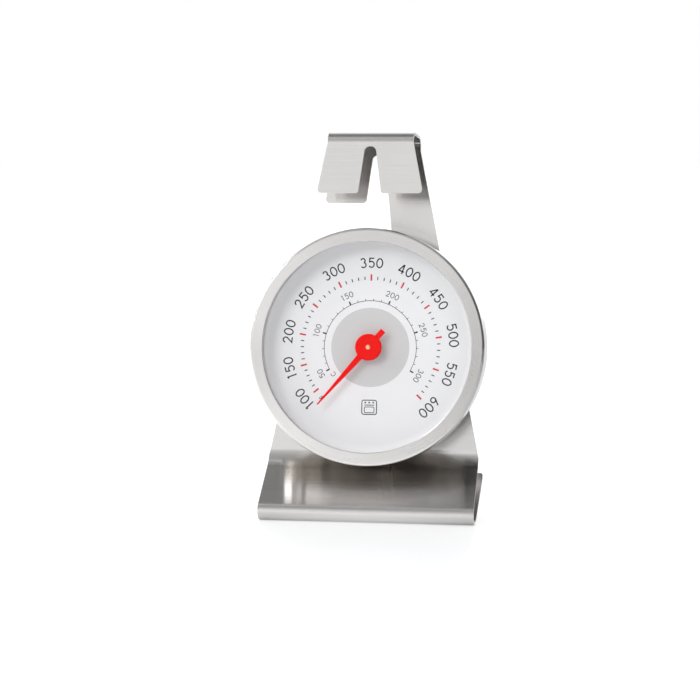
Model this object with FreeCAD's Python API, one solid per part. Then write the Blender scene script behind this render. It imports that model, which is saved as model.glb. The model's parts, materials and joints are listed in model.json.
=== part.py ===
# Oven thermometer: a round bimetal dial on a folded sheet-steel stand with a rack hook on top.
#
# Axes: +Z up, -Y to the front, +X to the right of the person who reads the dial.
# Origin: middle of the footprint, on the surface that the thermometer stands on. Millimetres.
import FreeCAD
import Part
import math
import os

from FreeCAD import Vector

# ---------------------------------------------------------------- driving dimensions
HEIGHT = 114.3              # floor to the top of the hook
BEZEL_RADIUS = 34.925       # widest part of the object
LEAN = 5.5                  # the dial and the back plate lean back by this many degrees
SHEET = 0.8                 # thickness of the stand's sheet steel
DIAL_HEIGHT = 51.8          # centre of the bezel's front, above the floor
DIAL_FRONT = 2.3            # the same point, behind the front of the stand's fold
MIDDLE_Y = 16.17            # middle of the footprint, behind the front of the stand's fold

# Stand: side profile, measured from the front of the fold and up from the floor
FOLD_RADIUS = 2.9           # outer radius of the hairpin fold at the front
SLOPE = 41.5                # angle of the sloping base above the floor
BASE_BEND = 8.4             # radius of the bend between base and back plate, at mid-sheet
HOOK_BEND = 2.6             # the two bends of the hook, at mid-sheet
HOOK_SPLIT_Y = 15.5         # in the hook's top, between the outline of the flap and that of the back plate
HOOK_LOW = 88.0             # height above which the strip belongs to the hook
FLAP_ANGLE = 7.0            # the hook's front flap from the vertical, and its top from the horizontal
FLAP_Y = 9.0                # middle of the flap at height FLAP_Z
FLAP_Z = 103.35
FLAP_BOTTOM = 96.6          # lower edge of the flap
JAW_LENGTH_Y = 18.0         # depth at which the lower jaw of the rack clip ends
TONGUE_TOP_Y = 21.3         # where the foot tongue turns down
TONGUE_TOP_BEND = 3.0
TONGUE_FOOT_Y = 26.5        # where it turns along the floor
TONGUE_FOOT_BEND = 1.6
TOE_END_Y = 33.3            # end of the toe

# Stand: widths, as half widths
NECK = 12.75                # across the top of the hook
FLARE = 0.2075              # growth of the half width per millimetre down the back plate
FLARE_TOP = 108.8           # height below which the back plate flares
FLAP_FLARE = 0.207
FLAP_FLARE_TOP = 111.3
BASE_HALF = 32.2            # at the front fold
KINK_HALF = 31.5            # at the bend between base and back plate
JAW_HALF = 32.6             # at the end of the lower jaw
KINK_Z = 18.5
TONGUE_HALF = 17.0
CORNER = 1.2                # radius of the sheet's outer corners
SLOT_MOUTH_CORNER = 0.9
JAW_CORNER = 0.8
TONGUE_ROOT_CORNER = 1.0
TOE_CORNER = 3.0
CLEAR = 40.0                # reach of a cutting outline beyond the sheet on every side

# Hook slot and the open window beside the arm
SLOT_RADIUS = 1.6
SLOT_END = 0.98             # share of that radius at each corner of the slot's round end
FLAP_SLOT_TOP = 110.3
BACK_SLOT_TOP = 107.5
SLOT_FLARE = 0.155          # growth of the slot's half width per millimetre down
TAB_BOTTOM = 93.3
ARM_FLARE = 0.1             # slope of the arm's inner edge
WINDOW_BOTTOM = 70.0
WINDOW_CORNER = 5.0
SHOULDER_CORNER = 2.5       # left end of the window's lower edge

# Dial assembly: radius and depth behind the bezel's front plane
APERTURE = 31.0
BEZEL_SHEET = 0.6
BEZEL_DEPTH = 6.2
BEZEL_FALL = 0.25           # fall of the lip's front from its inner to its outer edge
BEZEL_EDGE = 0.85           # rounding of the bezel's outer edge
SMALL_EDGE = 0.2            # rounding of the small pressed and ground edges
CASE_RADIUS = 34.25
CASE_SHEET = 0.5
CASE_BACK = 15.66
CASE_CORNER = 4.2
GLASS_RADIUS = 34.1
GLASS_BACK = 2.4
GASKET_BACK = 3.1
GASKET_INNER = 31.9
RING_OUTER = 33.65          # spacer, dial plate and seat ring inside the case
SPACER_INNER = 32.2
SEAT_INNER = 32.7
DIAL_FACE = 7.2             # depth of the printed face
DIAL_SHEET = 0.5
DIAL_RIM = 4.6              # depth of the flange round the dished face
DIAL_WALL = 31.75           # radius of the dish's wall, at mid-sheet
DIAL_COVE = 2.85            # radius of the curve from face to wall, at mid-sheet
DIAL_LIP_BEND = 0.4         # from wall to flange
DIAL_HOLE = 2.0
SEAT_BACK = 12.1
POINTER_FRONT = 3.5

# Movement behind the dial
STAFF_RADIUS = 0.7
RUNNING_GAP = 0.03          # radial play of the staff in its bearings
PIVOT_RADIUS = 0.4
BRIDGE_HALF = 11.5          # half the span of the bridge's raised strap
BRIDGE_SHEET = 0.6
BRIDGE_WIDTH = 9.0
BRIDGE_TOP = 8.5            # depth of the strap's front face
BRIDGE_BEND = 0.8
BRIDGE_FOOT = 3.2           # length of a foot beyond its rivet
RIVET_X = 15.5
RIVET_RADIUS = 1.5
RIVET_HEADS = ((2.5, 0.8), (2.7, 1.0))      # radius and height of the inner and the outer head
BUSH_RADIUS = 1.6
BUSH_FLANGE = (2.4, 0.4)    # radius and height
BEARING_RADIUS = 1.2
BEARING_FLANGE = (2.2, 0.9)
PIVOT_SHOULDER = 1.2        # from the case's floor to the step in the staff
PIVOT_END = 0.1             # end play of the pivot
COIL_FRONT = 10.3
COIL_BACK = 12.9
COIL_THICKNESS = 0.3
COIL_TURNS = 4.75
COLLET_RADIUS = 1.9
COIL_OUTER = 8.6
POST_RADIUS = 0.9
ANCHOR_RIVET = (0.7, 0.4)   # radius and height
CLIP = (1.6, 0.4, 0.1)      # radius, thickness and gap to the bush

# Pointer
POINTER_REST = -138.7       # degrees clockwise from straight up, at a room temperature of 80 F
POINTER_TIP = 22.8
POINTER_TAIL = 6.6
HUB_RADIUS = 3.95
HUB_THICKNESS = 1.0
HUB_EDGE = 0.4              # rounding of the hub's front edge
BLADE_DEPTH = 0.2           # blade's front face, behind the hub's
BLADE_THICKNESS = 0.5
BLADE_ROOT = (0.95, 3.0)    # half width of the blade, and where that is from the centre
BLADE_TIP_HALF = 0.16
TAIL_HALF = 0.83
BOSS = (1.6, 1.6)           # radius and length of the pointer's bush
STAFF_PROUD = 0.25          # staff's front end, in front of the hub


# ---------------------------------------------------------------- shared helpers
def unit(a, b):
    """Direction from point a to point b in a plane."""
    length = math.hypot(b[0] - a[0], b[1] - a[1])
    return ((b[0] - a[0]) / length, (b[1] - a[1]) / length)


def bend(before, corner, after, radius):
    """Start, middle, end and centre of the arc that rounds a corner."""
    to_before = unit(corner, before)
    to_after = unit(corner, after)
    half = math.acos(to_before[0] * to_after[0] + to_before[1] * to_after[1]) / 2
    reach = radius / math.tan(half)
    inward = unit((0, 0), (to_before[0] + to_after[0], to_before[1] + to_after[1]))
    centre = tuple(corner[i] + inward[i] * radius / math.sin(half) for i in (0, 1))
    start = tuple(corner[i] + to_before[i] * reach for i in (0, 1))
    end = tuple(corner[i] + to_after[i] * reach for i in (0, 1))
    middle = tuple(centre[i] - inward[i] * radius for i in (0, 1))
    return start, middle, end, centre


def rounded_face(corners, to_space):
    """Flat face inside corners (a, b, radius), with each corner rounded by its radius."""
    count = len(corners)
    stops = []
    for i in range(count):
        a, b, radius = corners[i]
        if radius == 0:
            stops.append(((a, b), None, (a, b)))
        else:
            start, middle, end, _ = bend(corners[i - 1], (a, b), corners[(i + 1) % count], radius)
            stops.append((start, middle, end))
    edges = []
    for i in range(count):
        start, middle, end = stops[i]
        following = stops[(i + 1) % count][0]
        if middle:
            edges.append(Part.Arc(to_space(*start), to_space(*middle), to_space(*end)).toShape())
        if math.dist(end, following) > 1e-6:
            edges.append(Part.LineSegment(to_space(*end), to_space(*following)).toShape())
    return Part.Face(Part.Wire(edges))


def folded_face(path, thickness, to_space):
    """Section of a sheet folded along path, whose points (a, b, radius) lie at mid-sheet."""
    sides = []
    for side in (thickness / 2, -thickness / 2):
        first = unit(path[0], path[1])
        last = unit(path[-2], path[-1])
        stops = [((path[0][0] - first[1] * side, path[0][1] + first[0] * side),)]
        for before, corner, after in zip(path, path[1:], path[2:]):
            start, middle, end, centre = bend(before, corner, after, corner[2])
            turn = unit(before, corner)
            left = (after[0] - corner[0]) * -turn[1] + (after[1] - corner[1]) * turn[0] > 0
            scale = (corner[2] - side if left else corner[2] + side) / corner[2]
            stops.append(tuple((centre[0] + (p[0] - centre[0]) * scale,
                                centre[1] + (p[1] - centre[1]) * scale) for p in (start, middle, end)))
        stops.append(((path[-1][0] - last[1] * side, path[-1][1] + last[0] * side),))
        sides.append(stops)
    edges = []
    for stops in sides:
        for here, following in zip(stops, stops[1:]):
            if len(here) == 3:
                edges.append(Part.Arc(*[to_space(*p) for p in here]).toShape())
            if math.dist(here[-1], following[0]) > 1e-6:
                edges.append(Part.LineSegment(to_space(*here[-1]), to_space(*following[0])).toShape())
    for end in (0, -1):
        edges.append(Part.LineSegment(to_space(*sides[0][end][0]), to_space(*sides[1][end][0])).toShape())
    return Part.Face(Part.Wire(Part.sortEdges(edges)[0]))


def on_side(y, z):
    """Point of the side view; y counts from the front of the stand's fold."""
    return Vector(0, y - MIDDLE_Y, z)


def on_front(x, z):
    return Vector(x, 0, z)


def on_floor(x, y):
    return Vector(x, y - MIDDLE_Y, 0)


def prism(face, direction, low, high):
    """Solid that a face sweeps between two distances along a direction."""
    moved = face.translated(direction * low)
    return moved.extrude(direction * (high - low))


def turned(profile):
    """Solid of revolution about the dial axis from corners (radius, depth, corner radius)."""
    face = rounded_face(profile, lambda radius, depth: Vector(radius, 0, -depth))
    return face.revolve(Vector(0, 0, 0), Vector(0, 0, 1), 360)


def disc(radius, front, back, inner=0):
    """Round plate or ring between two depths."""
    return turned([(inner, front, 0), (radius, front, 0), (radius, back, 0), (inner, back, 0)])


def bore(radius, front, back, x=0):
    """Cylinder along the dial axis between two depths, to cut a hole with."""
    return Part.makeCylinder(radius, back - front, Vector(x, 0, -back))


# In the dial assembly's own axes, X is to the right, Y up the dial and Z out of the glass.
DIAL_PLACE = FreeCAD.Placement(Vector(0, DIAL_FRONT - MIDDLE_Y, DIAL_HEIGHT),
                               FreeCAD.Rotation(Vector(1, 0, 0), 90 - LEAN))


def in_dial(shape):
    """Move a shape from the dial assembly's own axes to its place on the stand."""
    moved = shape.copy()
    moved.Placement = DIAL_PLACE.multiply(moved.Placement)
    return moved


def save(name, shape):
    shape.removeSplitter().exportStep("parts/" + name + ".step")
    print(name, round(shape.Volume, 2), shape.isValid(), len(shape.Solids))
    return shape


# ---------------------------------------------------------------- stand
def line_crossing(point_a, angle_a, point_b, angle_b):
    """Crossing of two lines of the side view, each through a point at an angle above +Y."""
    ca, sa = math.cos(math.radians(angle_a)), math.sin(math.radians(angle_a))
    cb, sb = math.cos(math.radians(angle_b)), math.sin(math.radians(angle_b))
    along = ((point_b[0] - point_a[0]) * sb - (point_b[1] - point_a[1]) * cb) / (ca * sb - sa * cb)
    return (point_a[0] + ca * along, point_a[1] + sa * along)


def stand_section():
    """Side section of the upper sheet (hook, back plate, base and fold) and of the jaw and foot."""
    mid = FOLD_RADIUS - SHEET / 2
    slope = math.radians(SLOPE)
    along = (math.cos(slope), math.sin(slope))
    across = (-along[1], along[0])
    centre = (FOLD_RADIUS, FOLD_RADIUS)
    upper = (centre[0] + across[0] * mid, centre[1] + across[1] * mid)
    lower = (centre[0] - across[0] * mid, centre[1] - across[1] * mid)
    nose_top = (upper[0] - along[0] * mid, upper[1] - along[1] * mid)
    nose_low = (lower[0] - along[0] * mid, lower[1] - along[1] * mid)

    # The back plate lies flat against the back of the case.
    plate_depth = CASE_BACK + SHEET / 2
    plate_point = (DIAL_FRONT + plate_depth * math.cos(math.radians(LEAN)),
                   DIAL_HEIGHT - plate_depth * math.sin(math.radians(LEAN)))
    plate_angle = 90 - LEAN
    kink = line_crossing(upper, SLOPE, plate_point, plate_angle)

    # The hook's front bend reaches the full height; the top falls away from it to the back.
    tilt = math.radians(FLAP_ANGLE)
    bend_z = HEIGHT - SHEET / 2 - HOOK_BEND
    bend_y = FLAP_Y + (bend_z - FLAP_Z) * math.tan(tilt) + HOOK_BEND / math.cos(tilt)
    crown = (bend_y + HOOK_BEND * math.sin(tilt), bend_z + HOOK_BEND * math.cos(tilt))
    front_top = line_crossing(crown, -FLAP_ANGLE, (FLAP_Y, FLAP_Z), 90 - FLAP_ANGLE)
    back_top = line_crossing(crown, -FLAP_ANGLE, plate_point, plate_angle)
    flap_end = (FLAP_Y + (FLAP_BOTTOM - FLAP_Z) * math.tan(tilt), FLAP_BOTTOM)

    main = [flap_end + (0,), front_top + (HOOK_BEND,), back_top + (HOOK_BEND,), kink + (BASE_BEND,),
            nose_top + (mid,), nose_low + (mid,), lower + (0,)]
    tongue_top = (TONGUE_TOP_Y, lower[1] + (TONGUE_TOP_Y - lower[0]) * math.tan(slope))
    jaw = [lower + (0,), tongue_top + (TONGUE_TOP_BEND,),
           (TONGUE_FOOT_Y, SHEET / 2, TONGUE_FOOT_BEND), (TOE_END_Y, SHEET / 2, 0)]
    return main, jaw


def back_half(z):
    """Half width of the back plate at height z."""
    return NECK + max(0.0, FLARE_TOP - z) * FLARE


def slot_half(z, top):
    """Half width of the hook's tapering slot at height z, for a slot that ends at height top."""
    return SLOT_RADIUS + max(0.0, top - SLOT_RADIUS - z) * SLOT_FLARE


def back_outline():
    """Front view of everything behind the hook's middle: tab, arm and back plate."""
    above = HEIGHT + CLEAR
    arm = slot_half(TAB_BOTTOM, BACK_SLOT_TOP)
    window = arm + (TAB_BOTTOM - WINDOW_BOTTOM) * ARM_FLARE
    slot_end = SLOT_RADIUS * SLOT_END
    corners = [(NECK, above, 0), (NECK, FLARE_TOP, 0),
               (back_half(KINK_Z), KINK_Z, 0), (back_half(KINK_Z), 0, 0),
               (-back_half(KINK_Z), 0, 0), (-back_half(KINK_Z), KINK_Z, 0),
               (-back_half(WINDOW_BOTTOM), WINDOW_BOTTOM, SHOULDER_CORNER),
               (window, WINDOW_BOTTOM, WINDOW_CORNER),
               (arm, TAB_BOTTOM, 0), (SLOT_RADIUS, BACK_SLOT_TOP, slot_end),
               (-SLOT_RADIUS, BACK_SLOT_TOP, slot_end), (-arm, TAB_BOTTOM, CORNER),
               (-back_half(TAB_BOTTOM), TAB_BOTTOM, CORNER), (-NECK, FLARE_TOP, 0), (-NECK, above, 0)]
    return rounded_face(corners, on_front)


def flap_outline():
    """Front view of the hook's front flap, an inverted V of two legs."""
    above = HEIGHT + CLEAR
    low = FLAP_BOTTOM
    edge = NECK + (FLAP_FLARE_TOP - low) * FLAP_FLARE
    mouth = slot_half(low, FLAP_SLOT_TOP)
    right = [(NECK, above, 0), (NECK, FLAP_FLARE_TOP, 0), (edge, low, CORNER),
             (mouth, low, SLOT_MOUTH_CORNER), (SLOT_RADIUS, FLAP_SLOT_TOP, SLOT_RADIUS * SLOT_END)]
    left = [(-x, z, radius) for x, z, radius in reversed(right)]
    return rounded_face(right + left, on_front)


def jaw_outline():
    """Plan of the lower jaw, a full-width lip with a narrower tongue that runs to the toe."""
    right = [(BASE_HALF, -CLEAR, 0), (BASE_HALF, 0, 0), (JAW_HALF, JAW_LENGTH_Y, JAW_CORNER),
             (TONGUE_HALF, JAW_LENGTH_Y, TONGUE_ROOT_CORNER), (TONGUE_HALF, TOE_END_Y, TOE_CORNER)]
    left = [(-x, y, radius) for x, y, radius in reversed(right)]
    return rounded_face(right + left, on_floor)


def base_outline():
    """Plan of the sloping base: a little wider at the fold than at the bend."""
    corners = [(BASE_HALF, 0, 0), (KINK_HALF, JAW_LENGTH_Y, 0), (KINK_HALF, CLEAR, 0),
               (-KINK_HALF, CLEAR, 0), (-KINK_HALF, JAW_LENGTH_Y, 0), (-BASE_HALF, 0, 0)]
    return rounded_face(corners, on_floor)


def stand_bracket():
    main, jaw = stand_section()
    x = Vector(1, 0, 0)
    y = Vector(0, 1, 0)
    z = Vector(0, 0, 1)
    upper = prism(folded_face(main, SHEET, on_side), x, -CLEAR, CLEAR)
    lower = prism(folded_face(jaw, SHEET, on_side), x, -CLEAR, CLEAR)
    split = HOOK_SPLIT_Y - MIDDLE_Y
    flap_zone = prism(flap_outline(), y, -CLEAR, split)
    back_zone = prism(back_outline(), y, split, CLEAR)
    hook_heights = Part.makeBox(2 * CLEAR, 2 * CLEAR, HEIGHT, Vector(-CLEAR, -CLEAR, HOOK_LOW))
    hook = upper.common(flap_zone.fuse(back_zone)).common(hook_heights)
    plate_heights = Part.makeBox(2 * CLEAR, 2 * CLEAR, HOOK_LOW - KINK_Z, Vector(-CLEAR, -CLEAR, KINK_Z))
    plate = upper.common(prism(back_outline(), y, -CLEAR, CLEAR)).common(plate_heights)
    base = upper.common(prism(base_outline(), z, -CLEAR, KINK_Z))
    foot = lower.common(prism(jaw_outline(), z, -CLEAR, CLEAR))
    bracket = hook.fuse([plate, base, foot]).removeSplitter()
    for side in (-1, 1):
        hole = bore(RIVET_RADIUS, CASE_BACK - SHEET, CASE_BACK + 2 * SHEET, side * RIVET_X)
        bracket = bracket.cut(in_dial(hole))
    return bracket


# ---------------------------------------------------------------- casing, glass and dial
def bezel_ring():
    """Pressed ring: a slightly sloping lip over the glass and a side wall over the rim of the case."""
    inner = CASE_RADIUS
    return turned([(APERTURE, 0, SMALL_EDGE), (BEZEL_RADIUS, BEZEL_FALL, BEZEL_EDGE),
                   (BEZEL_RADIUS, BEZEL_DEPTH, SMALL_EDGE), (inner, BEZEL_DEPTH, 0),
                   (inner, BEZEL_SHEET, SMALL_EDGE), (APERTURE, BEZEL_SHEET, SMALL_EDGE)])


def case_cup():
    """Drawn cup that holds the dial and the movement, with holes for the rivets and the bearing."""
    inside = CASE_RADIUS - CASE_SHEET
    floor = CASE_BACK - CASE_SHEET
    cup = turned([(0, floor, 0), (inside, floor, CASE_CORNER - CASE_SHEET), (inside, GASKET_BACK, 0),
                  (CASE_RADIUS, GASKET_BACK, 0), (CASE_RADIUS, CASE_BACK, CASE_CORNER), (0, CASE_BACK, 0)])
    for x, radius in ((-RIVET_X, RIVET_RADIUS), (RIVET_X, RIVET_RADIUS), (0, BEARING_RADIUS)):
        cup = cup.cut(bore(radius, floor - SHEET, CASE_BACK + SHEET, x))
    return cup


def lens_glass():
    return turned([(0, BEZEL_SHEET, 0), (GLASS_RADIUS, BEZEL_SHEET, SMALL_EDGE),
                   (GLASS_RADIUS, GLASS_BACK, SMALL_EDGE), (0, GLASS_BACK, 0)])


def lens_gasket():
    return disc(GLASS_RADIUS, GLASS_BACK, GASKET_BACK, GASKET_INNER)


def dial_spacer_ring():
    return disc(RING_OUTER, GASKET_BACK, DIAL_RIM, SPACER_INNER)


def dial_seat_ring():
    return disc(RING_OUTER, DIAL_RIM + DIAL_SHEET, SEAT_BACK, SEAT_INNER)


def dial_plate():
    """Dished disc: a flat face, a curved cove up to the wall, and a flange held between two rings."""
    face = DIAL_FACE + DIAL_SHEET / 2
    rim = DIAL_RIM + DIAL_SHEET / 2
    path = [(DIAL_HOLE, face, 0), (DIAL_WALL, face, DIAL_COVE), (DIAL_WALL, rim, DIAL_LIP_BEND),
            (RING_OUTER, rim, 0)]
    section = folded_face(path, DIAL_SHEET, lambda radius, depth: Vector(radius, 0, -depth))
    return section.revolve(Vector(0, 0, 0), Vector(0, 0, 1), 360)


# ---------------------------------------------------------------- movement
def movement_bridge():
    """Bent strap over the coil, with two feet on the floor of the case and a bush hole."""
    floor = CASE_BACK - CASE_SHEET
    reach = RIVET_X + BRIDGE_FOOT
    low = floor - BRIDGE_SHEET / 2
    high = BRIDGE_TOP + BRIDGE_SHEET / 2
    path = [(-reach, low, 0), (-BRIDGE_HALF, low, BRIDGE_BEND), (-BRIDGE_HALF, high, BRIDGE_BEND),
            (BRIDGE_HALF, high, BRIDGE_BEND), (BRIDGE_HALF, low, BRIDGE_BEND), (reach, low, 0)]
    section = folded_face(path, BRIDGE_SHEET, lambda x, depth: Vector(x, 0, -depth))
    bridge = prism(section, Vector(0, 1, 0), -BRIDGE_WIDTH / 2, BRIDGE_WIDTH / 2)
    for x, radius in ((-RIVET_X, RIVET_RADIUS), (RIVET_X, RIVET_RADIUS), (0, BUSH_RADIUS)):
        bridge = bridge.cut(bore(radius, BRIDGE_TOP - SHEET, CASE_BACK, x))
    return bridge


def case_rivets():
    """Two domed rivets through the bridge's feet, the floor of the case and the stand's plate."""
    inner_face = CASE_BACK - CASE_SHEET - BRIDGE_SHEET
    outer_face = CASE_BACK + SHEET
    (inner_radius, inner_height), (outer_radius, outer_height) = RIVET_HEADS
    dome = 0.8 * outer_height
    profile = [(0, inner_face - inner_height, 0), (inner_radius, inner_face - inner_height, inner_height / 2),
               (inner_radius, inner_face, 0), (RIVET_RADIUS, inner_face, 0), (RIVET_RADIUS, outer_face, 0),
               (outer_radius, outer_face, 0), (outer_radius, outer_face + outer_height, dome),
               (0, outer_face + outer_height, 0)]
    rivet = turned(profile)
    return Part.makeCompound([rivet.translated(Vector(side * RIVET_X, 0, 0)) for side in (-1, 1)])


def front_bush():
    """Flanged brass bush in the bridge; the staff turns in it."""
    inner = STAFF_RADIUS + RUNNING_GAP
    flange, height = BUSH_FLANGE
    front = BRIDGE_TOP - height
    back = BRIDGE_TOP + BRIDGE_SHEET
    return turned([(inner, front, 0), (flange, front, SMALL_EDGE), (flange, BRIDGE_TOP, 0),
                   (BUSH_RADIUS, BRIDGE_TOP, 0), (BUSH_RADIUS, back, 0), (inner, back, 0)])


def rear_bearing():
    """Brass pivot cup set in the floor of the case."""
    floor = CASE_BACK - CASE_SHEET
    inner = PIVOT_RADIUS + RUNNING_GAP
    flange, height = BEARING_FLANGE
    front = floor - height
    return turned([(inner, front, 0), (flange, front, SMALL_EDGE), (flange, floor, 0),
                   (BEARING_RADIUS, floor, 0), (BEARING_RADIUS, CASE_BACK, 0), (0, CASE_BACK, 0),
                   (0, floor, 0), (inner, floor, 0)])


def spiral_point(turn, offset):
    """Point of the coil at a number of turns from its inner end, offset from its middle line."""
    growth = (COIL_OUTER - COLLET_RADIUS - COIL_THICKNESS) / COIL_TURNS
    radius = COLLET_RADIUS + COIL_THICKNESS / 2 + growth * turn + offset
    angle = 2 * math.pi * turn
    return Vector(radius * math.cos(angle), radius * math.sin(angle), -COIL_BACK)


def bimetal_coil():
    """Flat spiral of bimetal strip from the collet to the anchor post."""
    steps = round(COIL_TURNS * 12)
    rails = []
    for offset in (-COIL_THICKNESS / 2, COIL_THICKNESS / 2):
        curve = Part.BSplineCurve()
        curve.interpolate([spiral_point(COIL_TURNS * i / steps, offset) for i in range(steps + 1)])
        rails.append(curve.toShape())
    ends = [Part.LineSegment(rails[0].valueAt(p[0]), rails[1].valueAt(p[1])).toShape()
            for p in zip(rails[0].ParameterRange, rails[1].ParameterRange)]
    outline = Part.Wire(Part.sortEdges([rails[0], rails[1], ends[0], ends[1]])[0])
    return Part.Face(outline).extrude(Vector(0, 0, COIL_BACK - COIL_FRONT))


def coil_anchor_post():
    """Post on the floor of the case that holds the coil's outer end."""
    floor = CASE_BACK - CASE_SHEET
    height = floor - COIL_FRONT + COIL_THICKNESS
    return Part.makeCylinder(POST_RADIUS, height, Vector(0, -COIL_OUTER - POST_RADIUS, -floor))


def coil_anchor_rivet():
    """Small rivet that pins the coil's end to its post."""
    radius, height = ANCHOR_RIVET
    foot = Vector(0, -COIL_OUTER + COIL_THICKNESS, -(COIL_FRONT + COIL_BACK) / 2)
    return Part.makeCylinder(radius, height, foot, Vector(0, 1, 0))


# ---------------------------------------------------------------- pointer and its staff
def pointer_needle():
    """Red pointer: a tapered needle, a short tail and a thick hub disc, in one piece."""
    back = POINTER_FRONT + HUB_THICKNESS
    hub = turned([(STAFF_RADIUS, POINTER_FRONT, 0), (HUB_RADIUS, POINTER_FRONT, HUB_EDGE),
                  (HUB_RADIUS, back, SMALL_EDGE), (STAFF_RADIUS, back, 0)])
    root_half, root = BLADE_ROOT
    right = [(TAIL_HALF, -POINTER_TAIL, SMALL_EDGE), (TAIL_HALF, -root, 0), (root_half, root, 0),
             (BLADE_TIP_HALF, POINTER_TIP, 0.7 * BLADE_TIP_HALF)]
    left = [(-x, y, radius) for x, y, radius in reversed(right)]
    blade_back = POINTER_FRONT + BLADE_DEPTH + BLADE_THICKNESS
    flat = rounded_face(right + left, lambda x, y: Vector(x, y, -blade_back))
    blade = flat.extrude(Vector(0, 0, BLADE_THICKNESS)).cut(bore(root, POINTER_FRONT, back))
    return hub.fuse(blade).removeSplitter()


def pointer_bush():
    """Brass boss that carries the pointer on the staff."""
    front = POINTER_FRONT + HUB_THICKNESS
    radius, length = BOSS
    return disc(radius, front, front + length, STAFF_RADIUS)


def pointer_staff():
    """Brass staff from the pointer's hub to the rear pivot."""
    front = POINTER_FRONT - STAFF_PROUD
    floor = CASE_BACK - CASE_SHEET
    shoulder = floor - PIVOT_SHOULDER
    end = floor - PIVOT_END
    return turned([(0, front, 0), (STAFF_RADIUS, front, SMALL_EDGE), (STAFF_RADIUS, shoulder, 0),
                   (PIVOT_RADIUS, shoulder, 0), (PIVOT_RADIUS, end, 0), (0, end, 0)])


def coil_collet():
    """Collar that ties the coil's inner end to the staff."""
    return disc(COLLET_RADIUS, COIL_FRONT, COIL_BACK, STAFF_RADIUS)


def staff_clip():
    """Retaining ring behind the bush, which keeps the staff from sliding forward."""
    radius, thickness, gap = CLIP
    front = BRIDGE_TOP + BRIDGE_SHEET + gap
    return disc(radius, front, front + thickness, STAFF_RADIUS)


def at_rest(shape):
    """Turn a piece of the pointer, drawn pointing straight up, to its rest reading."""
    return shape.rotated(Vector(0, 0, 0), Vector(0, 0, 1), -POINTER_REST)


# ---------------------------------------------------------------- write every piece
os.makedirs("parts", exist_ok=True)

everything = [save("stand_bracket", stand_bracket())]
for fixed in (bezel_ring, case_cup, lens_glass, lens_gasket, dial_spacer_ring, dial_plate, dial_seat_ring,
              movement_bridge, case_rivets, front_bush, rear_bearing, bimetal_coil, coil_anchor_post,
              coil_anchor_rivet):
    everything.append(save(fixed.__name__, in_dial(fixed())))
for turning in (pointer_needle, pointer_bush, pointer_staff, coil_collet, staff_clip):
    everything.append(save(turning.__name__, in_dial(at_rest(turning()))))

whole = Part.makeCompound(everything).optimalBoundingBox(False)
print("box", [round(v, 3) for v in (whole.XMin, whole.YMin, whole.ZMin, whole.XMax, whole.YMax, whole.ZMax)])
pivot = DIAL_PLACE.multVec(Vector(0, 0, -DIAL_FACE))
axis = DIAL_PLACE.Rotation.multVec(Vector(0, 0, -1))
print("pointer axis", [round(v, 5) for v in pivot], [round(v, 6) for v in axis])
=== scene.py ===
"""Looks of the oven thermometer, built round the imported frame.

Metres, +Z up, -Y to the front. The dial assembly has its own axes: X to the right, Y up the dial and
Z out of the glass, with the printed face of the dial at Z = 0. Prints are drawn there in millimetres.
"""

import json
import math

import bmesh
import bpy
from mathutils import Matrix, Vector


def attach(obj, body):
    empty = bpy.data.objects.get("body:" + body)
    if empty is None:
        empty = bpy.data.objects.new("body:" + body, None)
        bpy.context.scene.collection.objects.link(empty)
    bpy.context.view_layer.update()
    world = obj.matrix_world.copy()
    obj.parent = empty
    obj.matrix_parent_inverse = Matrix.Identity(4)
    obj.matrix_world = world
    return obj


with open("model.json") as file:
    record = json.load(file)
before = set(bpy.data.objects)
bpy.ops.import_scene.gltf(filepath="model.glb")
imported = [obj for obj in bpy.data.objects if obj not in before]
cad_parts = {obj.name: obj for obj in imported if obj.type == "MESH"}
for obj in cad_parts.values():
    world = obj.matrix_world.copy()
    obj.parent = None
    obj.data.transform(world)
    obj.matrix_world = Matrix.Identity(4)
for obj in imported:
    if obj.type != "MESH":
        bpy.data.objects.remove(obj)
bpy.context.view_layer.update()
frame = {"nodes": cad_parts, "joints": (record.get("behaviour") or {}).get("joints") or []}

MM = 0.001
NODES = frame["nodes"]
STAND = "stand_and_case"

# The pointer's hinge gives the place and direction of the dial assembly's own axes.
HINGE = frame["joints"][0]
DIAL_CENTRE = Vector(HINGE["pos_m"])
OUT = -Vector(HINGE["axis"])
RIGHT = Vector((1, 0, 0))
UP = OUT.cross(RIGHT)
DIAL_TILT = math.atan2(-OUT.y, OUT.z)

# Camera: seen a little from the right and from above, through a long lens
CAMERA_PLACE = Vector((0.1334, -0.7666, 0.1139))
CAMERA_TURN = 10.4          # degrees to the right of straight ahead
CAMERA_DROP = 4.71          # degrees that it looks down
CAMERA_LENS = 134.8

# Studio: what the steel mirrors. Each pair is a component of the mirrored direction, from -1 to 1, and the
# brightness there: upwards, towards the dark gap, and towards the back.
MIRRORED_LEVEL = 1.6        # strength of the whole
HEIGHT_LEVELS = (           # dark skirting, white wall, then a ceiling that fades to grey
    (-1, 0.25), (0.06, 0.25), (0.12, 1.1), (0.16, 1.1), (0.22, 0.95),
    (0.32, 0.6), (0.45, 0.42), (0.7, 0.34), (0.95, 0.22), (1, 0.12),
)
DARK_GAP = (0.866, -0.5, 0)     # direction of the gap's middle
GAP_LEVELS = ((-1, 1), (0.42, 1), (0.6, 0.4), (0.75, 0.1), (1, 0.04))
BACK_LEVELS = ((-1, 0), (0.35, 0), (0.75, 0.9), (1, 1))
FILL_LEVEL = 0.72           # even light on matt surfaces
FLOOR_LIFT = 0.26           # extra brightness of the floor as the camera sees it
FLOOR_GLOW_FRONT = 0.6      # and as the steel mirrors it, in front of the stand
FLOOR_GLOW_LEFT = 0.8       # and to its left

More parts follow.
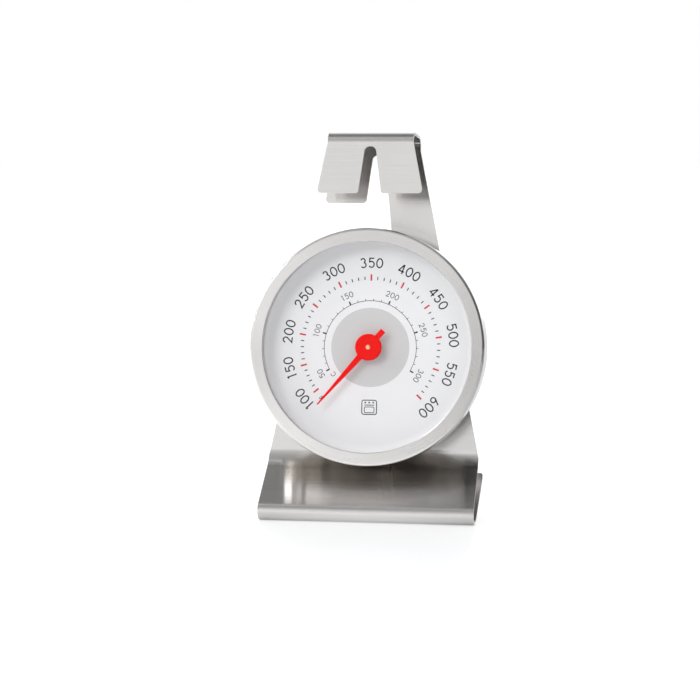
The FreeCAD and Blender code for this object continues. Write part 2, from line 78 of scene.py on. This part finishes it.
# Printed scales, in millimetres and in degrees clockwise from straight up
SCALE_START = 100           # Fahrenheit
SCALE_STEP = 50
SCALE_ANGLES = (-129, -105.5, -80, -54, -27, 0, 27, 54, 81, 107.6, 134.2)
CELSIUS_START = 50          # the inner scale; its marks stand by the same angles
CELSIUS_END = 300
CELSIUS_STEP = 50           # from one figure to the next
INK_TOP = 0.02              # thickness of the ink above the enamel
INK_ROOT = -0.01            # and how deep it is keyed into it
GREY_TOP = 0.012            # thickness of the grey disc


# ---------------------------------------------------------------- materials
class Recipe:
    """A material's node tree, with a short call for each kind of node used here."""

    def __init__(self, name, **settings):
        self.material = bpy.data.materials.new(name)
        self.material.use_nodes = True
        self.tree = self.material.node_tree
        self.tree.nodes.clear()
        self.shader = self.node("BsdfPrincipled")
        self.output = self.node("OutputMaterial")
        self.feed(self.output.inputs["Surface"], self.shader.outputs[0])
        self.place = self.node("TexCoord").outputs["Object"]
        self.set(**settings)

    def node(self, kind, **settings):
        made = self.tree.nodes.new("ShaderNode" + kind)
        for key, value in settings.items():
            setattr(made, key, value)
        return made

    def feed(self, socket, value):
        """Link an output to a socket, or set the socket to a plain value."""
        if isinstance(value, bpy.types.NodeSocket):
            self.tree.links.new(value, socket)
        elif isinstance(value, tuple) and len(value) == 3 and socket.type == "RGBA":
            socket.default_value = value + (1.0,)
        else:
            socket.default_value = value

    def set(self, **settings):
        """Set sockets of the main shader; base_color stands for its socket Base Color."""
        for key, value in settings.items():
            self.feed(self.shader.inputs[key.replace("_", " ").title().replace("Ior", "IOR")], value)

    def stretched(self, x, y, z, vector=None):
        """Coordinates scaled by a different amount along each axis."""
        made = self.node("Mapping", vector_type="POINT")
        self.feed(made.inputs["Vector"], vector or self.place)
        made.inputs["Scale"].default_value = (x, y, z)
        return made.outputs[0]

    def in_dial(self):
        """Coordinates in the dial assembly's own axes."""
        made = self.node("Mapping", vector_type="TEXTURE")
        self.feed(made.inputs["Vector"], self.place)
        made.inputs["Location"].default_value = DIAL_CENTRE
        made.inputs["Rotation"].default_value = (DIAL_TILT, 0, 0)
        return made.outputs[0]

    def noise(self, scale, vector=None, detail=3.0, roughness=0.5):
        made = self.node("TexNoise")
        self.feed(made.inputs["Vector"], vector or self.place)
        made.inputs["Scale"].default_value = scale
        made.inputs["Detail"].default_value = detail
        made.inputs["Roughness"].default_value = roughness
        return made.outputs["Fac"]

    def spread(self, value, low, high, to_low, to_high):
        """Map a range of values onto another, and hold it at both ends."""
        made = self.node("MapRange", clamp=True)
        for socket, given in zip(made.inputs, (value, low, high, to_low, to_high)):
            self.feed(socket, given)
        return made.outputs[0]

    def maths(self, operation, a, b=0.0):
        made = self.node("Math", operation=operation)
        self.feed(made.inputs[0], a)
        self.feed(made.inputs[1], b)
        return made.outputs[0]

    def mixed(self, factor, first, second):
        made = self.node("Mix", data_type="RGBA")
        self.feed(made.inputs["Factor"], factor)
        self.feed(made.inputs[6], first)
        self.feed(made.inputs[7], second)
        return made.outputs[2]

    def bump(self, height, distance, strength=1.0, normal=None):
        """Relief from a height, whose full swing is distance in metres."""
        made = self.node("Bump")
        self.feed(made.inputs["Height"], height)
        made.inputs["Distance"].default_value = distance
        made.inputs["Strength"].default_value = strength
        if normal:
            self.feed(made.inputs["Normal"], normal)
        return made.outputs[0]

    def edge_on(self, axis):
        """1 where the surface faces along one of the object's axes, 0 where it lies along it."""
        split = self.node("SeparateXYZ")
        normal = self.node("TexCoord").outputs["Normal"]
        self.feed(split.inputs[0], normal)
        return self.spread(self.maths("ABSOLUTE", split.outputs[axis]), 0.3, 0.7, 0.0, 1.0)


def stand_steel():
    """Stainless sheet brushed across its width; its cut edges are plain, sheared metal."""
    steel = Recipe("stand_steel", metallic=1.0, anisotropic=1.0)
    fine = steel.noise(1.0, steel.stretched(40, 7000, 7000), 2.0)
    coarse = steel.noise(1.0, steel.stretched(5, 2400, 2400), 2.0)
    patches = steel.noise(38.0, detail=4.0)
    grain = steel.maths("ADD", steel.maths("MULTIPLY", fine, 0.5), steel.maths("MULTIPLY", coarse, 0.5))
    edge = steel.edge_on(0)
    streak = steel.spread(grain, 0.3, 0.7, 0.0, 1.0)
    brushed = steel.mixed(streak, (0.545, 0.530, 0.518), (0.610, 0.595, 0.585))
    steel.set(base_color=steel.mixed(edge, brushed, (0.55, 0.54, 0.53)))
    worn = steel.maths("ADD", steel.spread(grain, 0.25, 0.75, 0.0, 0.05),
                       steel.spread(patches, 0.3, 0.7, 0.13, 0.17))
    steel.set(roughness=steel.maths("ADD", worn, steel.maths("MULTIPLY", edge, 0.12)))
    steel.set(normal=steel.bump(coarse, 8e-6))
    across = steel.node("Tangent", direction_type="RADIAL", axis="X")
    steel.feed(steel.shader.inputs["Tangent"], across.outputs[0])
    return steel.material


def bezel_steel():
    """Pressed ring: a satin lip with a fine turned grain round the dial, and a polished side wall."""
    steel = Recipe("bezel_steel", metallic=1.0, anisotropic=0.6)
    dial = steel.in_dial()
    split = steel.node("SeparateXYZ")
    steel.feed(split.inputs[0], dial)
    x, y, z = split.outputs
    squares = steel.maths("ADD", steel.maths("MULTIPLY", x, x), steel.maths("MULTIPLY", y, y))
    radius = steel.maths("SQRT", squares)
    ring = steel.node("CombineXYZ")
    for socket, value, scale in zip(ring.inputs, (steel.maths("ADD", radius, z), x, y), (5200, 40, 40)):
        steel.feed(socket, steel.maths("MULTIPLY", value, scale))
    turned = steel.noise(1.0, ring.outputs[0], 3.0)
    smudge = steel.noise(60.0, detail=4.0)
    steel.set(base_color=steel.mixed(turned, (0.60, 0.585, 0.575), (0.67, 0.655, 0.645)))
    satin = steel.maths("ADD", steel.spread(turned, 0.3, 0.7, 0.0, 0.05),
                        steel.spread(smudge, 0.3, 0.7, 0.24, 0.30))
    polish = steel.spread(smudge, 0.3, 0.7, 0.08, 0.13)
    lip = steel.edge_on(1)
    steel.set(roughness=steel.maths("ADD", steel.maths("MULTIPLY", satin, lip),
                                    steel.maths("MULTIPLY", polish, steel.maths("SUBTRACT", 1.0, lip))))
    steel.set(normal=steel.bump(turned, 3e-6, 0.5))
    away = steel.node("VectorMath", operation="SUBTRACT")
    steel.feed(away.inputs[0], steel.place)
    away.inputs[1].default_value = DIAL_CENTRE
    steel.feed(steel.shader.inputs["Tangent"], away.outputs[0])
    return steel.material


def case_steel():
    """Deep-drawn steel, dull, with faint lines and broad bands along the wall. Its dark warm grey is painted
    shade: the base mirrors it as the shade under the bezel.
    """
    steel = Recipe("case_steel", metallic=1.0)
    drawn = steel.noise(1.0, steel.stretched(2600, 2600, 120, steel.in_dial()), 2.0)
    bands = steel.noise(1.0, steel.stretched(110, 110, 6, steel.in_dial()), 2.0)
    tint = steel.spread(bands, 0.38, 0.62, 0.0, 1.0)
    # painted shade: both tones are dark so that the base, where it mirrors the case, looks shaded under the
    # bezel
    steel.set(base_color=steel.mixed(tint, (0.135, 0.118, 0.100), (0.25, 0.225, 0.195)))
    steel.set(roughness=steel.maths("ADD", steel.spread(drawn, 0.3, 0.7, 0.0, 0.01),
                                    steel.spread(bands, 0.3, 0.7, 0.22, 0.28)))
    steel.set(normal=steel.bump(bands, 50e-6))
    return steel.material


def rivet_steel():
    """Headed and turned small steel parts, a little dull."""
    steel = Recipe("rivet_steel", metallic=1.0)
    cloud = steel.noise(900.0, detail=4.0)
    steel.set(base_color=steel.mixed(cloud, (0.50, 0.49, 0.48), (0.66, 0.65, 0.64)))
    steel.set(roughness=steel.spread(cloud, 0.3, 0.7, 0.26, 0.42))
    steel.set(normal=steel.bump(cloud, 12e-6, 0.5))
    return steel.material


def brass():
    """Turned brass, slightly tarnished in patches."""
    metal = Recipe("brass", metallic=1.0)
    turned = metal.noise(1.0, metal.stretched(300, 300, 6000, metal.in_dial()), 2.0)
    tarnish = metal.noise(700.0, detail=4.0)
    metal.set(base_color=metal.mixed(tarnish, (0.72, 0.50, 0.26), (0.85, 0.66, 0.40)))
    metal.set(roughness=metal.spread(tarnish, 0.3, 0.7, 0.22, 0.38))
    metal.set(normal=metal.bump(turned, 8e-6, 0.5))
    return metal.material


def bimetal():
    """Rolled strip whose two alloys differ a little in tint."""
    metal = Recipe("bimetal", metallic=1.0)
    rolled = metal.noise(1.0, metal.stretched(500, 500, 9000, metal.in_dial()), 2.0)
    tint = metal.noise(300.0, detail=2.0)
    metal.set(base_color=metal.mixed(tint, (0.56, 0.50, 0.40), (0.66, 0.63, 0.58)))
    metal.set(roughness=metal.spread(rolled, 0.3, 0.7, 0.3, 0.42))
    metal.set(normal=metal.bump(rolled, 6e-6, 0.5))
    return metal.material


def gasket():
    """Grey heat-proof fibre."""
    fibre = Recipe("gasket")
    strands = fibre.noise(4200.0, detail=5.0, roughness=0.7)
    fibre.set(base_color=fibre.mixed(strands, (0.20, 0.20, 0.20), (0.42, 0.42, 0.41)))
    fibre.set(roughness=fibre.spread(strands, 0.3, 0.7, 0.75, 0.95))
    fibre.set(normal=fibre.bump(strands, 40e-6, 0.8))
    return fibre.material


def dial_white():
    """Cool white enamel with a faint orange-peel relief."""
    enamel = Recipe("dial_white", specular_ior_level=0.3)
    cloud = enamel.noise(55.0, detail=3.0)
    peel = enamel.noise(900.0, detail=2.0)
    enamel.set(base_color=enamel.mixed(cloud, (0.818, 0.818, 0.830), (0.840, 0.840, 0.850)))
    enamel.set(roughness=enamel.spread(peel, 0.3, 0.7, 0.38, 0.48))
    enamel.set(normal=enamel.bump(peel, 8e-6, 0.35))
    return enamel.material


def ink(name, dark, light):
    """Matt screen-printing ink, a little uneven in cover."""
    print_ink = Recipe(name, specular_ior_level=0.1)
    cover = print_ink.noise(1600.0, detail=4.0)
    print_ink.set(base_color=print_ink.mixed(cover, dark, light))
    print_ink.set(roughness=print_ink.spread(cover, 0.3, 0.7, 0.5, 0.65))
    print_ink.set(normal=print_ink.bump(cover, 4e-6, 0.4))
    return print_ink.material


def pointer_red():
    """Gloss red lacquer on sheet metal."""
    lacquer = Recipe("pointer_red", specular_ior_level=0.05, coat_weight=0.05, coat_roughness=0.08)
    cloud = lacquer.noise(260.0, detail=3.0)
    peel = lacquer.noise(1500.0, detail=2.0)
    lacquer.set(base_color=lacquer.mixed(cloud, (0.80, 0.006, 0.005), (0.86, 0.009, 0.007)))
    lacquer.set(roughness=lacquer.spread(peel, 0.3, 0.7, 0.28, 0.38))
    lacquer.set(normal=lacquer.bump(peel, 6e-6, 0.4))
    return lacquer.material


def glass():
    """Clear pane: it shows what is behind it, and reflects by its angle. Faint smears dull the gloss."""
    pane = Recipe("glass")
    clear = pane.node("BsdfTransparent")
    clear.inputs["Color"].default_value = (0.990, 0.990, 0.992, 1.0)
    gloss = pane.node("BsdfGlossy")
    smear = pane.noise(45.0, detail=6.0, roughness=0.6)
    pane.feed(gloss.inputs["Roughness"], pane.spread(smear, 0.45, 0.75, 0.02, 0.10))
    facing = pane.node("Fresnel")
    facing.inputs["IOR"].default_value = 1.12
    outside = pane.maths("SUBTRACT", 1.0, pane.node("NewGeometry").outputs["Backfacing"])
    both = pane.node("MixShader")
    pane.feed(both.inputs[0], pane.maths("MULTIPLY", facing.outputs[0], outside))
    pane.feed(both.inputs[1], clear.outputs[0])
    pane.feed(both.inputs[2], gloss.outputs[0])
    pane.feed(pane.output.inputs["Surface"], both.outputs[0])
    pane.tree.nodes.remove(pane.shader)
    return pane.material


def floor_white():
    """Pale studio floor with a slight sheen. The steel mirrors it brighter in front and to the left."""
    ground = Recipe("floor_white", roughness=0.35, specular_ior_level=0.25)
    cloud = ground.noise(6.0, detail=2.0)
    ground.set(base_color=ground.mixed(cloud, (0.79, 0.80, 0.81), (0.81, 0.82, 0.83)))
    split = ground.node("SeparateXYZ")
    ground.feed(split.inputs[0], ground.place)
    from_front = ground.node("VectorMath", operation="DISTANCE")
    ground.feed(from_front.inputs[0], ground.place)
    from_front.inputs[1].default_value = (0, -0.055, 0)
    left = ground.spread(split.outputs[0], -0.08, -0.03, FLOOR_GLOW_LEFT, 0.0)
    near = ground.spread(from_front.outputs["Value"], 0.03, 0.06, FLOOR_GLOW_FRONT, 0.0)
    rays = ground.node("LightPath")
    mirrored = ground.maths("MULTIPLY", rays.outputs["Is Glossy Ray"], ground.maths("ADD", left, near))
    seen = ground.maths("MULTIPLY", rays.outputs["Is Camera Ray"], FLOOR_LIFT)
    ground.set(emission_color=(1.0, 1.0, 1.0), emission_strength=ground.maths("ADD", seen, mirrored))
    return ground.material


def dress(materials_by_node):
    """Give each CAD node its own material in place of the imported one."""
    for material, names in materials_by_node:
        for name in names:
            for cad_slot in NODES[name].material_slots:
                cad_slot.material = material


# ---------------------------------------------------------------- printed scales
def on_dial(x, y, lift):
    """Point of the dial in the frame, from millimetres in the dial assembly's own axes."""
    return DIAL_CENTRE + (RIGHT * x + UP * y + OUT * lift) * MM


def round_dial(angle, radius):
    """Point at an angle clockwise from straight up."""
    turn = math.radians(angle)
    return (radius * math.sin(turn), radius * math.cos(turn))


def arc(x, y, radius_x, radius_y, start, end, step=10):
    """Points along an ellipse, from one angle to another, anticlockwise from the right."""
    count = max(2, round(abs(end - start) / step))
    turns = [math.radians(start + (end - start) * i / count) for i in range(count + 1)]
    return [(x + radius_x * math.cos(turn), y + radius_y * math.sin(turn)) for turn in turns]


def ribbon(mesh, line, width, closed=False, top=INK_TOP):
    """Printed stroke along a line of points, as a thin closed solid with mitred corners."""
    count = len(line)
    rows = []
    for i, here in enumerate(line):
        steps = []
        if closed or i > 0:
            steps.append(Vector(here) - Vector(line[i - 1]))
        if closed or i < count - 1:
            steps.append(Vector(line[(i + 1) % count]) - Vector(here))
        sides = [Vector((-step.y, step.x)).normalized() for step in steps]
        mitre = (sides[0] + sides[-1]).normalized()
        offset = mitre * width / 2 / max(mitre.dot(sides[0]), 0.45)
        corners = []
        for sign, lift in ((1, top), (-1, top), (-1, INK_ROOT), (1, INK_ROOT)):
            place = on_dial(here[0] + sign * offset.x, here[1] + sign * offset.y, lift)
            corners.append(mesh.verts.new(place))
        rows.append(corners)
    pairs = list(zip(rows, rows[1:]))
    if closed:
        pairs.append((rows[-1], rows[0]))
    else:
        mesh.faces.new(reversed(rows[0]))
        mesh.faces.new(rows[-1])
    for near, far in pairs:
        for i in range(4):
            mesh.faces.new((near[i], near[(i + 1) % 4], far[(i + 1) % 4], far[i]))


# Strokes of each figure about the middle of its foot, in units of its height
LOW = 0.058                 # middle of a stroke that stands on the foot line
HIGH = 0.942
GLYPHS = {
    "0": [arc(0, 0.5, 0.287, 0.442, 90, 450)],
    "1": [[(0.085, 0.0), (0.085, 1.0)], [(0.05, 0.94), (-0.07, 0.86)]],
    "2": [arc(-0.01, 0.69, 0.25, 0.252, 175, -38) + [(-0.235, LOW), (0.27, LOW)]],
    "3": [arc(-0.03, 0.735, 0.205, 0.207, 160, -72), arc(-0.02, 0.30, 0.25, 0.242, 72, -150)],
    "4": [[(0.13, 0.0), (0.13, 0.97)], [(0.09, 0.93), (-0.26, 0.27), (0.29, 0.27)]],
    "5": [[(0.26, HIGH), (-0.18, HIGH), (-0.20, 0.58)] + arc(-0.01, 0.345, 0.26, 0.287, 115, -150)],
    "6": [arc(0, 0.30, 0.25, 0.242, 155, 515), [(-0.215, 0.44), (0.09, 0.985)]],
    "C": [arc(0.05, 0.5, 0.40, 0.442, 45, 315)],
    "F": [[(-0.2, 0.0), (-0.2, HIGH), (0.22, HIGH)], [(-0.15, 0.5), (0.16, 0.5)]],
}
ADVANCE = 0.81              # from one figure's middle to the next


def write(mesh, text, angle, radius, height, stroke):
    """Figures along the dial's curve, upright to the radius, centred on an angle and a radius."""
    step = math.degrees(ADVANCE * height / radius)
    for place, sign in enumerate(text):
        turn = math.radians(angle + (place - (len(text) - 1) / 2) * step)
        outward = Vector((math.sin(turn), math.cos(turn)))
        along = Vector((math.cos(turn), -math.sin(turn)))
        for line in GLYPHS[sign]:
            points = [outward * (radius + (b - 0.5) * height) + along * (a * height) for a, b in line]
            closed = (points[0] - points[-1]).length < 1e-6
            ribbon(mesh, points[:-1] if closed else points, stroke, closed)


def scale_angle(fahrenheit):
    """Angle of a reading. The marks stand a little closer together at the cold end."""
    place = (fahrenheit - SCALE_START) / SCALE_STEP
    low = int(place)
    return SCALE_ANGLES[low] + (SCALE_ANGLES[low + 1] - SCALE_ANGLES[low]) * (place - low)


def tick(mesh, angle, radius, length, width):
    """Radial mark whose middle is at a radius."""
    line = [round_dial(angle, radius - length / 2), round_dial(angle, radius + length / 2)]
    ribbon(mesh, line, width)


def print_on_dial(name, draw, material):
    """One colour of the print as a piece of its own."""
    mesh = bmesh.new()
    draw(mesh)
    bmesh.ops.recalc_face_normals(mesh, faces=mesh.faces[:])
    data = bpy.data.meshes.new(name)
    mesh.to_mesh(data)
    mesh.free()
    data.materials.append(material)
    piece = bpy.data.objects.new(name, data)
    bpy.context.scene.collection.objects.link(piece)
    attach(piece, STAND)


def grey_disc(mesh):
    """Grey field round the pointer's hub, open over the hole in the dial."""
    inner = 2.05
    outer = 11.7
    middle = (inner + outer) / 2
    step = 2.5              # degrees
    ring = arc(0, 0, middle, middle, 0, 360 - step, step)
    ribbon(mesh, ring, outer - inner, closed=True, top=GREY_TOP)


def fahrenheit_marks(mesh):
    for angle in SCALE_ANGLES:
        tick(mesh, angle, radius=20.65, length=1.9, width=0.5)


def fahrenheit_steps(mesh):
    """Four fine marks between each pair of main ones."""
    parts = 5
    for before, after in zip(SCALE_ANGLES, SCALE_ANGLES[1:]):
        for part in range(1, parts):
            tick(mesh, before + (after - before) * part / parts, radius=20.45, length=0.95, width=0.28)


def fahrenheit_figures(mesh):
    for place, angle in enumerate(SCALE_ANGLES):
        reading = SCALE_START + SCALE_STEP * place
        write(mesh, str(reading), angle, radius=25.0, height=3.0, stroke=0.37)
    write(mesh, "F", angle=-135.6, radius=20.7, height=1.5, stroke=0.2)


def celsius_angle(celsius):
    return scale_angle(celsius * 1.8 + 32)


def celsius_scale(mesh):
    """Inner scale: a thin arc with marks outside it."""
    radius = 13.8
    start = celsius_angle(CELSIUS_START)
    end = celsius_angle(CELSIUS_END)
    pieces = 96
    line = [round_dial(start + (end - start) * i / pieces, radius) for i in range(pieces + 1)]
    ribbon(mesh, line, width=0.16)
    for reading in range(CELSIUS_START, CELSIUS_END + 1, 10):
        angle = celsius_angle(reading)
        if reading % CELSIUS_STEP == 0:
            tick(mesh, angle, radius + 0.55, length=1.1, width=0.42)
        else:
            tick(mesh, angle, radius + 0.33, length=0.55, width=0.16)


def celsius_figures(mesh):
    for reading in range(CELSIUS_START, CELSIUS_END + 1, CELSIUS_STEP):
        write(mesh, str(reading), celsius_angle(reading), radius=16.7, height=1.75, stroke=0.2)
    write(mesh, "C", angle=-126.3, radius=13.6, height=1.5, stroke=0.18)


def rounded_loop(x, y, width, height, radius):
    """Closed outline of a rectangle with round corners."""
    points = []
    for corner, (side, up) in enumerate(((1, 1), (-1, 1), (-1, -1), (1, -1))):
        centre = (x + side * (width / 2 - radius), y + up * (height / 2 - radius))
        points += arc(*centre, radius, radius, corner * 90, corner * 90 + 90, 22.5)
    return points


def oven_sign(mesh):
    """Small plain picture of an oven: its front, three knobs, a handle and a window."""
    middle = -17.7
    front = rounded_loop(0, middle, width=4.4, height=4.2, radius=0.6)
    ribbon(mesh, front, 0.26, closed=True)
    window = rounded_loop(0, middle - 0.75, width=2.9, height=1.7, radius=0.35)
    ribbon(mesh, window, 0.2, closed=True)
    handle = [(-1.45, middle + 0.65), (1.45, middle + 0.65)]
    ribbon(mesh, handle, 0.22)
    for x in (-1.2, 0, 1.2):
        knob = rounded_loop(x, middle + 1.4, width=0.3, height=0.3, radius=0.14)
        ribbon(mesh, knob, 0.2, closed=True)


# ---------------------------------------------------------------- studio
def floor(material):
    mesh = bmesh.new()
    bmesh.ops.create_grid(mesh, x_segments=1, y_segments=1, size=8.0)
    data = bpy.data.meshes.new("floor")
    mesh.to_mesh(data)
    mesh.free()
    data.materials.append(material)
    ground = bpy.data.objects.new("floor", data)
    bpy.context.scene.collection.objects.link(ground)


def world_level(tree, component, stops):
    """Brightness that depends on one component of the direction, from stops (component, level)."""
    shift = tree.nodes.new("ShaderNodeMapRange")
    shift.inputs["From Min"].default_value = -1.0
    tree.links.new(component, shift.inputs["Value"])
    ramp = tree.nodes.new("ShaderNodeValToRGB")
    tree.links.new(shift.outputs[0], ramp.inputs[0])
    elements = ramp.color_ramp.elements
    while len(elements) < len(stops):
        elements.new(0.5)
    for element, (place, level) in zip(elements, stops):
        element.position = (place + 1) / 2
        element.color = (level, level, level, 1.0)
    return ramp.outputs[0]


def studio_world():
    """What the steel mirrors: white walls over a dark skirting, a grey ceiling, a dark gap to the right of
    the camera and a bright wall behind. Matt surfaces get an even light, and the camera sees plain white."""
    world = bpy.data.worlds.new("studio")
    world.use_nodes = True
    tree = world.node_tree
    tree.nodes.clear()
    direction = tree.nodes.new("ShaderNodeTexCoord").outputs["Generated"]
    split = tree.nodes.new("ShaderNodeSeparateXYZ")
    tree.links.new(direction, split.inputs[0])
    to_gap = tree.nodes.new("ShaderNodeVectorMath")
    to_gap.operation = "DOT_PRODUCT"
    to_gap.inputs[1].default_value = DARK_GAP
    tree.links.new(direction, to_gap.inputs[0])
    by_height = world_level(tree, split.outputs["Z"], HEIGHT_LEVELS)
    by_gap = world_level(tree, to_gap.outputs["Value"], GAP_LEVELS)
    behind = world_level(tree, split.outputs["Y"], BACK_LEVELS)
    mirrored = by_height
    for operation, level in (("MULTIPLY", by_gap), ("LIGHTEN", behind)):
        mix = tree.nodes.new("ShaderNodeMix")
        mix.data_type = "RGBA"
        mix.blend_type = operation
        mix.inputs["Factor"].default_value = 1.0
        tree.links.new(mirrored, mix.inputs[6])
        tree.links.new(level, mix.inputs[7])
        mirrored = mix.outputs[2]
    rays = tree.nodes.new("ShaderNodeLightPath")
    shown = None
    for ray, level in ((None, MIRRORED_LEVEL), ("Is Diffuse Ray", FILL_LEVEL), ("Is Camera Ray", 1.0)):
        layer = tree.nodes.new("ShaderNodeBackground")
        layer.inputs["Strength"].default_value = level
        if shown is None:
            tree.links.new(mirrored, layer.inputs["Color"])
            shown = layer
            continue
        layer.inputs["Color"].default_value = (1.0, 1.0, 1.0, 1.0)
        mix = tree.nodes.new("ShaderNodeMixShader")
        tree.links.new(rays.outputs[ray], mix.inputs[0])
        tree.links.new(shown.outputs[0], mix.inputs[1])
        tree.links.new(layer.outputs[0], mix.inputs[2])
        shown = mix
    output = tree.nodes.new("ShaderNodeOutputWorld")
    tree.links.new(shown.outputs[0], output.inputs["Surface"])
    bpy.context.scene.world = world


def soft_box(name, place, aim, width, height, power, mirrored=True):
    """Rectangular studio lamp that shines from a place towards a point, and may stay out of reflections."""
    data = bpy.data.lights.new(name, "AREA")
    data.shape = "RECTANGLE"
    data.size = width
    data.size_y = height
    data.energy = power
    lamp = bpy.data.objects.new(name, data)
    lamp.location = place
    lamp.rotation_euler = (Vector(aim) - Vector(place)).to_track_quat("-Z", "Y").to_euler()
    lamp.visible_glossy = mirrored
    bpy.context.scene.collection.objects.link(lamp)


def lamps():
    middle = DIAL_CENTRE
    soft_box("key", place=middle + OUT + RIGHT * -0.42 + UP * 0.42, aim=middle,
             width=0.5, height=0.5, power=4.0, mirrored=False)
    soft_box("front", place=middle + OUT * 1.2 + RIGHT * 0.2, aim=middle,
             width=0.9, height=0.9, power=1.6, mirrored=False)
    soft_box("left", place=(-0.9, -0.2, 0.62), aim=(0, 0, 0.02),
             width=0.5, height=0.34, power=2.6)
    soft_box("overhead", place=(0, -0.11, 0.28), aim=(0, -0.11, 0),
             width=0.8, height=0.03, power=0.08)


def camera():
    data = bpy.data.cameras.new("camera")
    data.lens = CAMERA_LENS
    seen = bpy.data.objects.new("camera", data)
    seen.location = CAMERA_PLACE
    seen.rotation_euler = (math.radians(90 - CAMERA_DROP), 0, math.radians(CAMERA_TURN))
    bpy.context.scene.collection.objects.link(seen)
    bpy.context.scene.camera = seen


# ---------------------------------------------------------------- put together
camera()
white = dial_white()
dress([
    (stand_steel(), ["stand_bracket"]),
    (bezel_steel(), ["bezel_ring"]),
    (case_steel(), ["case_cup", "dial_seat_ring", "movement_bridge"]),
    (rivet_steel(), ["case_rivets", "coil_anchor_post", "coil_anchor_rivet", "staff_clip"]),
    (glass(), ["lens_glass"]),
    (gasket(), ["lens_gasket"]),
    (white, ["dial_plate", "dial_spacer_ring"]),
    (brass(), ["front_bush", "rear_bearing", "pointer_bush", "pointer_staff", "coil_collet"]),
    (bimetal(), ["bimetal_coil"]),
    (pointer_red(), ["pointer_needle"]),
])

grey = ink("dial_grey", (0.585, 0.585, 0.585), (0.63, 0.63, 0.63))
black = ink("dial_ink", (0.018, 0.018, 0.020), (0.035, 0.035, 0.038))
faded = ink("dial_ink_light", (0.055, 0.055, 0.060), (0.09, 0.09, 0.095))
red = ink("dial_ink_red", (0.60, 0.045, 0.055), (0.68, 0.070, 0.080))
print_on_dial("dial_print_disc", grey_disc, grey)
print_on_dial("dial_print_fahrenheit_marks", fahrenheit_marks, red)
print_on_dial("dial_print_fahrenheit_steps", fahrenheit_steps, black)
print_on_dial("dial_print_fahrenheit_figures", fahrenheit_figures, black)
print_on_dial("dial_print_celsius_scale", celsius_scale, black)
print_on_dial("dial_print_celsius_figures", celsius_figures, faded)
print_on_dial("dial_print_oven_sign", oven_sign, black)

floor(floor_white())
studio_world()
lamps()
bpy.context.scene.view_settings.view_transform = "Standard"
